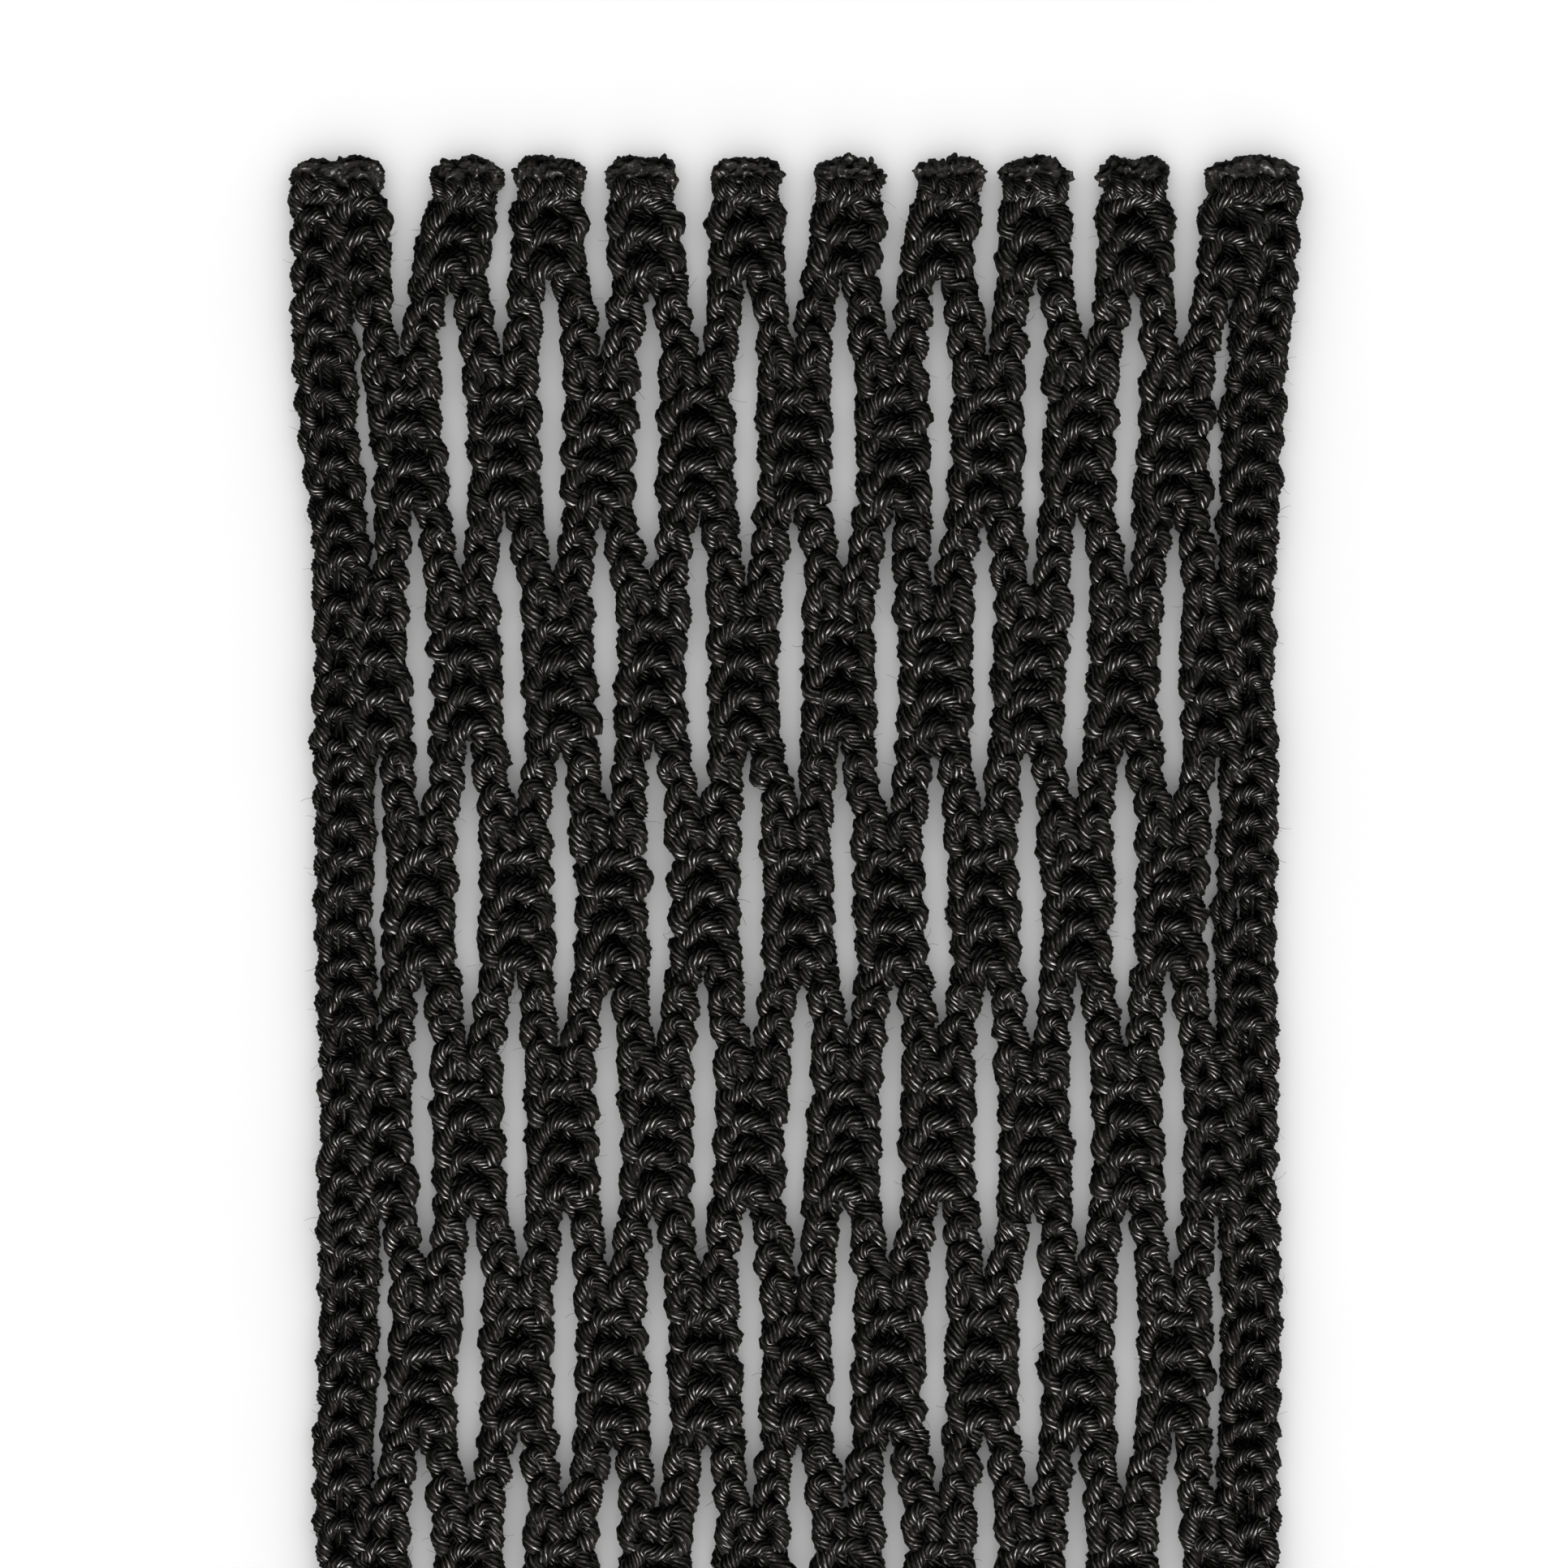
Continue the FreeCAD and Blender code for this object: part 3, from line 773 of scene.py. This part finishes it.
def attribute(nodes, name):
    """Value stored in the mesh."""
    node = nodes.new("ShaderNodeAttribute")
    node.attribute_name = name
    return node


def noise(nodes, links, vector, scale, detail=2.0):
    """Cloudy value that stays near one half."""
    node = nodes.new("ShaderNodeTexNoise")
    node.inputs["Scale"].default_value = scale
    node.inputs["Detail"].default_value = detail
    links.new(vector, node.inputs["Vector"])
    return node.outputs["Fac"]


def scaled(nodes, links, vector, by):
    """Coordinates stretched along each axis."""
    node = nodes.new("ShaderNodeMapping")
    node.inputs["Scale"].default_value = by
    links.new(vector, node.inputs["Vector"])
    return node.outputs["Vector"]


def maths(nodes, links, operation, *values):
    """Result of one operation on numbers or sockets."""
    node = nodes.new("ShaderNodeMath")
    node.operation = operation
    for socket, value in zip(node.inputs, values):
        if isinstance(value, (int, float)):
            socket.default_value = value
        else:
            links.new(value, socket)
    return node.outputs[0]


def spread(nodes, links, value, low, high, to_low=0.0, to_high=1.0):
    """Value moved from one range to another and held inside it. to_low may be a socket."""
    node = nodes.new("ShaderNodeMapRange")
    node.inputs["From Min"].default_value = low
    node.inputs["From Max"].default_value = high
    if isinstance(to_low, float):
        node.inputs["To Min"].default_value = to_low
    else:
        links.new(to_low, node.inputs["To Min"])
    node.inputs["To Max"].default_value = to_high
    links.new(value, node.inputs["Value"])
    return node.outputs["Result"]


def blend_colours(nodes, links, factor, low, high):
    """Colour between low and high."""
    node = nodes.new("ShaderNodeMix")
    node.data_type = "RGBA"
    links.new(factor, node.inputs["Factor"])
    for socket, value in ((node.inputs["A"], low), (node.inputs["B"], high)):
        if isinstance(value, tuple):
            socket.default_value = value
        else:
            links.new(value, socket)
    return node.outputs["Result"]


def filament_group():
    """Fine filaments along the plies: where they are pale (a painted highlight on the ply crests,
    painted shade in the grooves), their height, patches and shine.

    Dull Light and Dull Shine are the shares of light and shine that are left in dull patches.
    """
    group, enter, leave = new_group(
        "yarn_filaments", ("Dull Light", "Dull Shine"), ("Light", "Height", "Patch", "Shine"))
    nodes, links = group.nodes, group.links
    dull_light, dull_shine = enter.outputs["Dull Light"], enter.outputs["Dull Shine"]
    place = attribute(nodes, "yarn_place").outputs["Vector"]
    ridge = attribute(nodes, "ply_ridge").outputs["Fac"]
    lines = noise(nodes, links, scaled(nodes, links, place, (3.4, 3.4, 6.0)), 1.0, 2.0)
    hairs = noise(nodes, links, scaled(nodes, links, place, (7.0, 7.0, 5.0)), 1.0, 2.0)
    patch = noise(nodes, links, scaled(nodes, links, place, (1.5, 1.5, 3.2)), 1.0, 2.0)
    both = maths(nodes, links, "ADD", maths(nodes, links, "MULTIPLY", lines, 0.5),
                 maths(nodes, links, "MULTIPLY", hairs, 0.5))
    # Paler on the ply crests, as a painted highlight, and near-black in the grooves between them, as
    # painted shade; broken up by the filaments and the patches.
    light = maths(nodes, links, "MULTIPLY", spread(nodes, links, both, 0.44, 0.55),
                  spread(nodes, links, ridge, 0.48, 0.96))
    light = maths(nodes, links, "MULTIPLY", light,
                  spread(nodes, links, patch, 0.40, 0.53, dull_light))
    links.new(light, leave.inputs["Light"])
    height = maths(nodes, links, "ADD", maths(nodes, links, "MULTIPLY", hairs, 0.6),
                   maths(nodes, links, "MULTIPLY", lines, 1.0))
    links.new(height, leave.inputs["Height"])
    links.new(spread(nodes, links, patch, 0.35, 0.65), leave.inputs["Patch"])
    # Crests shine where filaments lie close; the grooves between the plies are matt.
    crest = spread(nodes, links, ridge, 0.42, 0.92)
    close = spread(nodes, links, both, 0.45, 0.53)
    kept = spread(nodes, links, patch, 0.42, 0.54, dull_shine)
    shine = maths(nodes, links, "MULTIPLY", maths(nodes, links, "MULTIPLY", crest, close), kept)
    links.new(shine, leave.inputs["Shine"])
    return group


def principled(name):
    """New material with its nodes, its links and its surface shader."""
    material = bpy.data.materials.new(name)
    material.use_nodes = True
    nodes, links = material.node_tree.nodes, material.node_tree.links
    return material, nodes, links, nodes["Principled BSDF"]


def yarn_material(name, group, dark, light):
    """Dyed multifilament yarn: dark between its filaments and, as painted shade, in the grooves between
    the plies; lighter on the ply crests as a painted highlight, and with a sheen on them.
    """
    material, nodes, links, shader = principled(name)
    fibres = nodes.new("ShaderNodeGroup")
    fibres.node_tree = group
    fibres.inputs["Dull Light"].default_value = 0.25
    fibres.inputs["Dull Shine"].default_value = 0.08
    faded = blend_colours(nodes, links, fibres.outputs["Patch"],
                          tuple(0.6 * c for c in light[:3]) + (1,), light)
    # Crest colour as a painted highlight, near-black as painted shade in the grooves.
    colour = blend_colours(nodes, links, fibres.outputs["Light"], dark, faded)
    links.new(colour, shader.inputs["Base Color"])
    links.new(spread(nodes, links, fibres.outputs["Patch"], 0.0, 1.0, 0.60, 0.85),
              shader.inputs["Roughness"])
    shader.inputs["Specular IOR Level"].default_value = 0.06
    links.new(fibres.outputs["Shine"], shader.inputs["Coat Weight"])
    shader.inputs["Coat Roughness"].default_value = 0.46
    shader.inputs["Coat IOR"].default_value = 1.6
    relief = nodes.new("ShaderNodeBump")
    relief.inputs["Strength"].default_value = 1.0
    relief.inputs["Distance"].default_value = FILAMENT_RELIEF
    links.new(fibres.outputs["Height"], relief.inputs["Height"])
    links.new(relief.outputs["Normal"], shader.inputs["Normal"])
    return material


def crust_material():
    """Melted and hardened yarn: matte, pitted, with small hard glints, and painted shade in its
    hollows.
    """
    material, nodes, links, shader = principled("fused_crust")
    place = nodes.new("ShaderNodeTexCoord").outputs["Object"]
    lumps = noise(nodes, links, scaled(nodes, links, place, (1.0, 1.8, 1.0)), 1900.0, 5.0)
    pits = noise(nodes, links, scaled(nodes, links, place, (0.5, 1.6, 1.0)), 8000.0, 3.0)
    glints = noise(nodes, links, place, 6400.0, 1.0)
    crest = attribute(nodes, "crust_crest").outputs["Fac"]
    # Mottled lumps, with painted shade darkening the hollows by the crest value.
    pale = maths(nodes, links, "MULTIPLY", spread(nodes, links, lumps, 0.43, 0.58, 0.10, 1.0),
                 spread(nodes, links, crest, 0.35, 0.90))
    colour = blend_colours(nodes, links, pale,
                           (0.0008, 0.0008, 0.0007, 1), (0.017, 0.0163, 0.0152, 1))
    links.new(colour, shader.inputs["Base Color"])
    links.new(spread(nodes, links, glints, 0.60, 0.70, 0.80, 0.40), shader.inputs["Roughness"])
    shader.inputs["Specular IOR Level"].default_value = 0.12
    shine = maths(nodes, links, "MULTIPLY", spread(nodes, links, glints, 0.46, 0.66, 0.0, 0.55),
                  spread(nodes, links, crest, 0.45, 0.90))
    links.new(shine, shader.inputs["Coat Weight"])
    shader.inputs["Coat Roughness"].default_value = 0.35
    both = maths(nodes, links, "ADD", lumps, maths(nodes, links, "MULTIPLY", pits, 0.5))
    relief = nodes.new("ShaderNodeBump")
    relief.inputs["Strength"].default_value = 0.9
    relief.inputs["Distance"].default_value = 0.00020
    links.new(both, relief.inputs["Height"])
    links.new(relief.outputs["Normal"], shader.inputs["Normal"])
    return material


def table_material():
    """Plain pale table."""
    material, nodes, links, shader = principled("pale_table")
    place = nodes.new("ShaderNodeTexCoord").outputs["Object"]
    tone = noise(nodes, links, place, 60.0, 2.0)
    links.new(blend_colours(nodes, links, tone, (0.90, 0.90, 0.90, 1), (0.94, 0.94, 0.94, 1)),
              shader.inputs["Base Color"])
    shader.inputs["Roughness"].default_value = 0.9
    shader.inputs["Specular IOR Level"].default_value = 0.1
    return material


# ---------------------------------------------------------------- studio

VIEW_MIDDLE = (-0.61, 15.05)    # what the camera looks down at
VIEW_WIDTH = 69.5               # width of the view on the table
CAMERA_HEIGHT = 500.0


def make_camera():
    """Camera straight above the strip."""
    data = bpy.data.cameras.new("camera")
    data.sensor_width = 36.0
    data.lens = data.sensor_width * CAMERA_HEIGHT / VIEW_WIDTH
    data.clip_start, data.clip_end = 0.01, 5.0
    camera = bpy.data.objects.new("camera", data)
    camera.location = (VIEW_MIDDLE[0] * MM, VIEW_MIDDLE[1] * MM, CAMERA_HEIGHT * MM)
    bpy.context.scene.collection.objects.link(camera)
    bpy.context.scene.camera = camera


def make_table():
    """Large flat table under the strip."""
    bpy.ops.object.select_all(action="DESELECT")
    bpy.ops.mesh.primitive_plane_add(size=1.6, location=(0, 0, 0))
    table = bpy.context.object
    table.name = "table"
    table.data.materials.append(table_material())


def softbox(name, place, size, glow):
    """Square soft light that faces the strip and shows only in the sheen. glow is its radiance."""
    data = bpy.data.lights.new(name, "AREA")
    data.size = size
    data.energy = glow * math.pi * size * size
    data.color = (1.0, 0.965, 0.915)
    light = bpy.data.objects.new(name, data)
    light.location = place
    way = -light.location
    light.rotation_euler = way.to_track_quat("-Z", "Y").to_euler()
    light.visible_diffuse = False
    bpy.context.scene.collection.objects.link(light)


def make_light():
    """Bright even surroundings for the table, dark ones for the sheen, and a window in front."""
    world = bpy.data.worlds.new("studio")
    bpy.context.scene.world = world
    world.use_nodes = True
    nodes, links = world.node_tree.nodes, world.node_tree.links
    background = nodes["Background"]
    background.inputs["Color"].default_value = (1.0, 1.0, 1.0, 1)
    rays = nodes.new("ShaderNodeLightPath")
    links.new(spread(nodes, links, rays.outputs["Is Glossy Ray"], 0.0, 1.0, 1.1, 0.02),
              background.inputs["Strength"])
    softbox("front_light", place=(0.05, -0.48, 0.42), size=0.50, glow=41.0)
    bpy.context.scene.view_settings.view_transform = "Standard"


make_camera()
make_table()
make_light()
filaments = filament_group()
# Each yarn gets a near-black painted as shade into the grooves between its plies, and a paler colour
# painted on the ply crests as a highlight.
leg_yarn = yarn_material("black_leg_yarn", filaments, GROOVE_SHADE_BLACK, (0.044, 0.0422, 0.0390, 1))
lap_yarn = yarn_material("black_lapping_yarn", filaments, GROOVE_SHADE_BLACK, CREST_SHEEN_BLACK)
edge_yarn = yarn_material("black_selvedge_yarn", filaments, (0.0009, 0.0009, 0.0009, 1), CREST_SHEEN_BLACK)
crust = crust_material()

for leg in range(1, len(leg_nodes) + 1):
    make_leg(leg, leg_yarn)
for selvedge_side in (-1, 1):
    make_selvedge(selvedge_side, edge_yarn)
for lap_row in range(len(lap_nodes)):
    make_lap_row(lap_row, lap_yarn)
for tip_node in sorted(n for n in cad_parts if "_sealed_tip_" in n):
    make_tip(tip_node, 1 if tip_node.startswith("top") else -1, crust)
